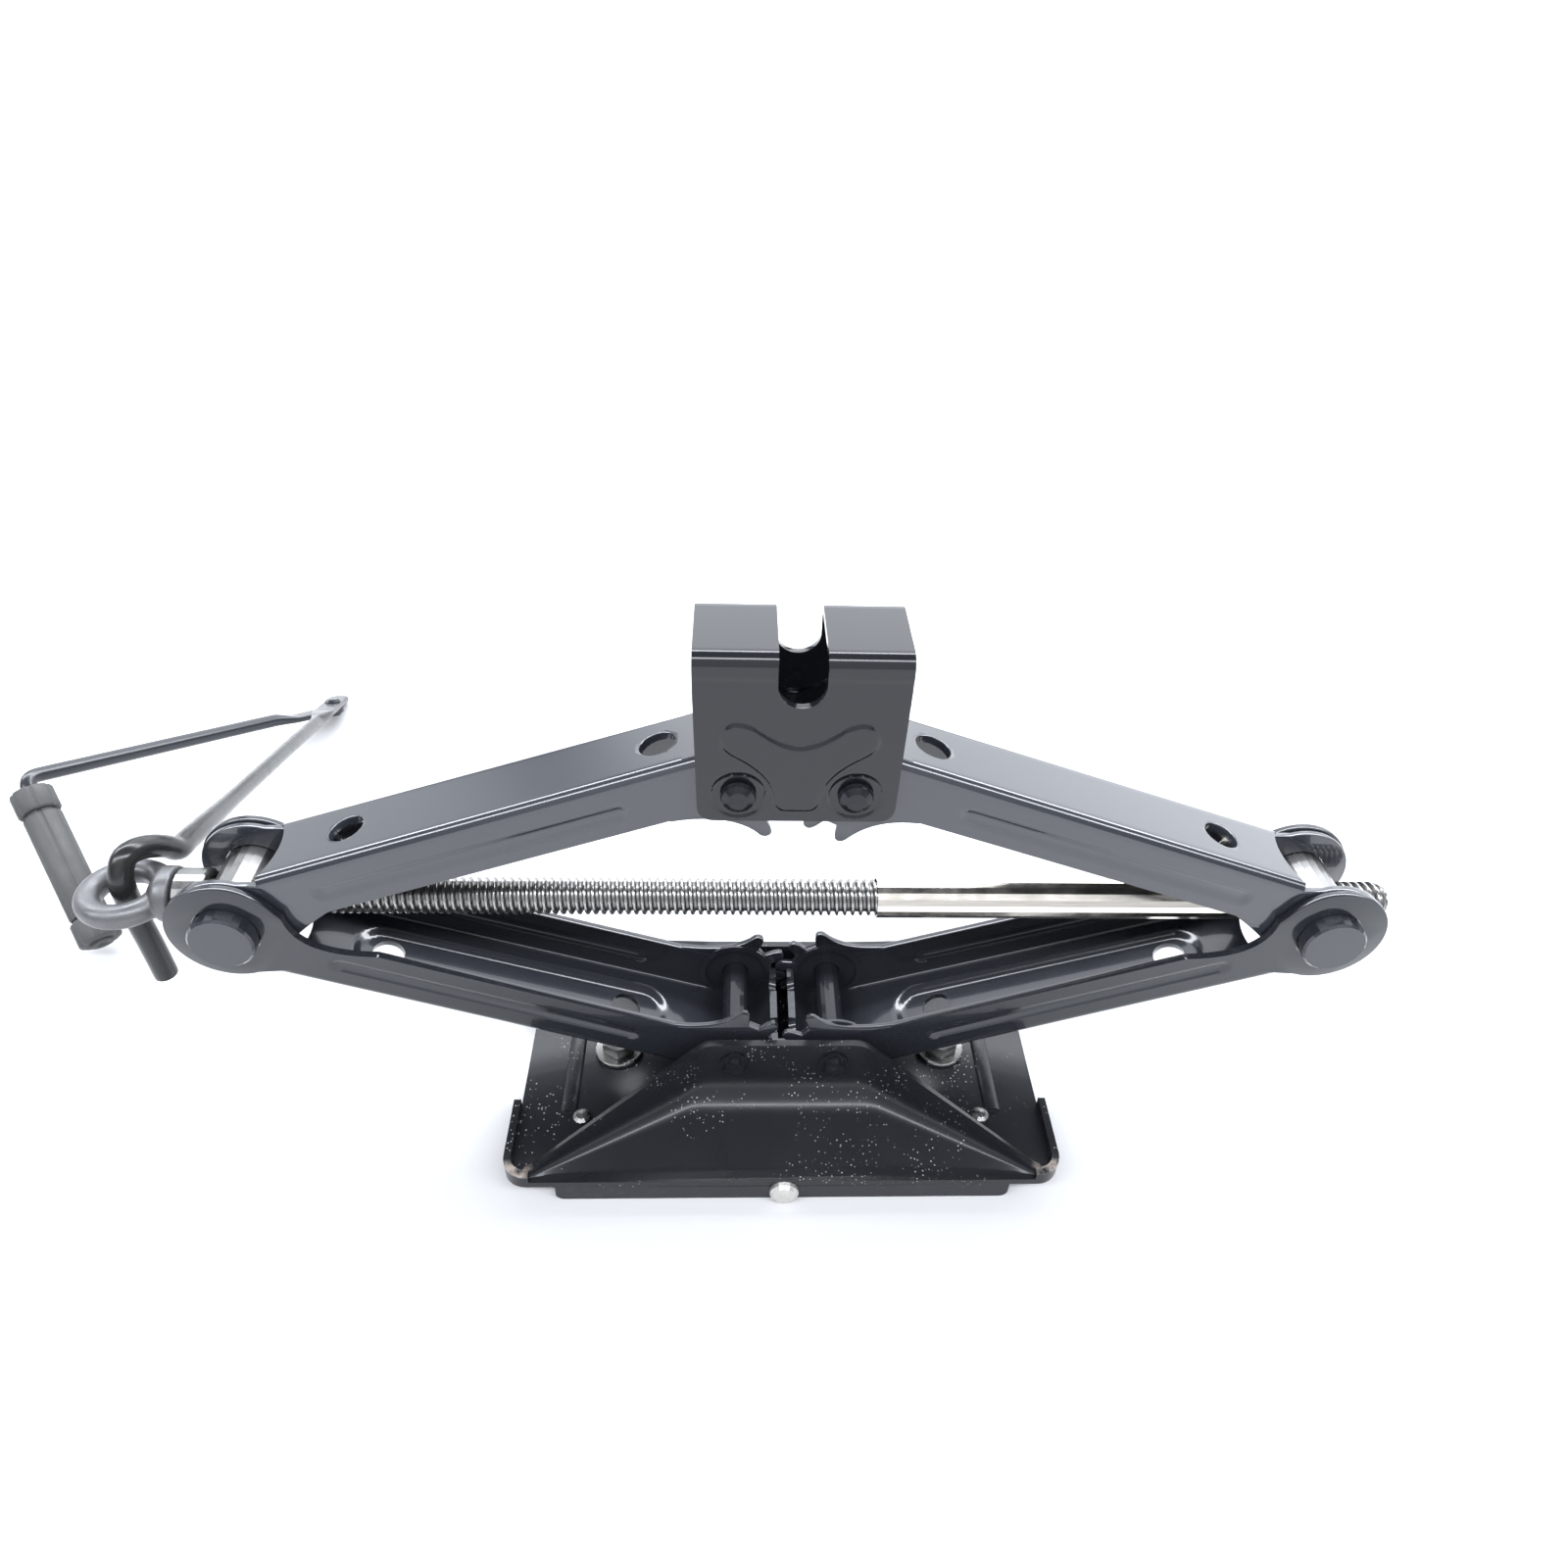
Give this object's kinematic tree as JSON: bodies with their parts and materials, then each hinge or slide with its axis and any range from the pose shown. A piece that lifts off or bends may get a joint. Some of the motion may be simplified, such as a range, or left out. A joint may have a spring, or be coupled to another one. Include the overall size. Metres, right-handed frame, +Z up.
{
  "type": "car jack",
  "caption": "Geared scissor car jack: base pan, four channel arms, slotted saddle, lead screw with thrust bearing and eye, and a hooked folding crank handle.",
  "frame": {"origin": "centre of the flat underside of the mounting plate", "axes": "+Z up through the saddle, +X along the lead screw from the eye towards the nut, +Y towards the folded handle's far end"},
  "size_m": [0.5864, 0.3451, 0.2174],
  "materials": {
    "black_paint": "gloss",
    "arm_paint": "gloss",
    "zinc": "satin",
    "bright_steel": "satin",
    "screw_steel": "satin",
    "forged_steel": "matte",
    "rod_steel": "satin",
    "grip_plastic": "matte"
  },
  "bodies": {
    "base": {"base_pan": "black_paint", "mounting_plate": "black_paint", "plate_button": "zinc", "base_bolt_left": "zinc", "base_bolt_right": "zinc", "base_washer_left": "zinc", "base_washer_right": "zinc", "plate_rivet_left_front": "zinc", "plate_rivet_left_back": "zinc", "plate_rivet_right_front": "zinc", "plate_rivet_right_back": "zinc", "base_pin_left": "black_paint", "base_pin_right": "black_paint"},
    "lower_left": {"lower_arm_left": "arm_paint"},
    "lower_right": {"lower_arm_right": "arm_paint"},
    "upper_left": {"upper_arm_left": "arm_paint"},
    "upper_right": {"upper_arm_right": "arm_paint"},
    "saddle_head": {"saddle": "black_paint", "saddle_pin_left": "black_paint", "saddle_pin_right": "black_paint"},
    "left_trunnion": {"trunnion_left": "bright_steel", "thrust_sleeve": "zinc", "bearing_race_inner": "bright_steel"},
    "right_trunnion": {"trunnion_right": "bright_steel", "stop_sleeve": "bright_steel"},
    "ball_ring": {"bearing_balls": "bright_steel"},
    "screw": {"lead_screw": "screw_steel", "screw_eye": "forged_steel", "bearing_race_outer": "bright_steel"},
    "shank": {"handle_shank": "rod_steel", "fold_rivet": "rod_steel"},
    "crank": {"handle_crank": "rod_steel"},
    "grip": {"handle_grip": "grip_plastic"}
  },
  "joints": [
    {"name": "lift", "type": "hinge", "parent": "base", "child": "lower_left", "pos_m": [-0.0194, 0, 0.0386], "axis": [0, 1, 0], "range_deg": [-11.6, 48.8]},
    {"name": "lower_right_pivot", "type": "hinge", "parent": "base", "child": "lower_right", "pos_m": [0.0194, 0, 0.0386], "axis": [0, 1, 0], "range_deg": [-48.9, 11.7]},
    {"name": "left_knuckle", "type": "hinge", "parent": "lower_left", "child": "upper_left", "pos_m": [-0.2, 0, 0.1014], "axis": [0, 1, 0], "range_deg": [-97.8, 23.4]},
    {"name": "right_knuckle", "type": "hinge", "parent": "lower_right", "child": "upper_right", "pos_m": [0.2, 0, 0.1014], "axis": [0, 1, 0], "range_deg": [-23.4, 97.8]},
    {"name": "saddle_pivot", "type": "hinge", "parent": "upper_left", "child": "saddle_head", "pos_m": [-0.0194, 0, 0.1642], "axis": [0, 1, 0], "range_deg": [-11.7, 48.9]},
    {"name": "left_trunnion_turn", "type": "hinge", "parent": "lower_left", "child": "left_trunnion", "pos_m": [-0.2, 0, 0.1014], "axis": [0, 1, 0], "range_deg": [-48.9, 11.7]},
    {"name": "right_trunnion_turn", "type": "hinge", "parent": "lower_right", "child": "right_trunnion", "pos_m": [0.2, 0, 0.1014], "axis": [0, 1, 0], "range_deg": [-11.7, 48.9]},
    {"name": "screw_spin", "type": "hinge", "parent": "left_trunnion", "child": "screw", "pos_m": [-0.2, 0, 0.1014], "axis": [1, 0, 0], "continuous": true},
    {"name": "bearing_turn", "type": "hinge", "parent": "left_trunnion", "child": "ball_ring", "pos_m": [-0.2, 0, 0.1014], "axis": [1, 0, 0], "continuous": true},
    {"name": "handle_swing", "type": "hinge", "parent": "screw", "child": "shank", "pos_m": [-0.243, 0, 0.1014], "axis": [0, 0, 1], "range_deg": [-10, 90]},
    {"name": "crank_fold", "type": "hinge", "parent": "shank", "child": "crank", "pos_m": [-0.262, 0.2595, 0.0076], "axis": [0.0277, -0.3704, -0.9285], "range_deg": [-10, 54]},
    {"name": "grip_spin", "type": "hinge", "parent": "crank", "child": "grip", "pos_m": [-0.354, 0.12, 0.0605], "axis": [0.5009, -0.6489, -0.5727], "continuous": true}
  ],
  "couplings": [
    {"joint": "lower_right_pivot", "follows": "lift", "ratio": -1},
    {"joint": "left_knuckle", "follows": "lift", "ratio": -2},
    {"joint": "right_knuckle", "follows": "lift", "ratio": 2},
    {"joint": "saddle_pivot", "follows": "lift", "ratio": 1},
    {"joint": "left_trunnion_turn", "follows": "lift", "ratio": -1},
    {"joint": "right_trunnion_turn", "follows": "lift", "ratio": 1},
    {"joint": "bearing_turn", "follows": "screw_spin", "ratio": 0.5}
  ]
}
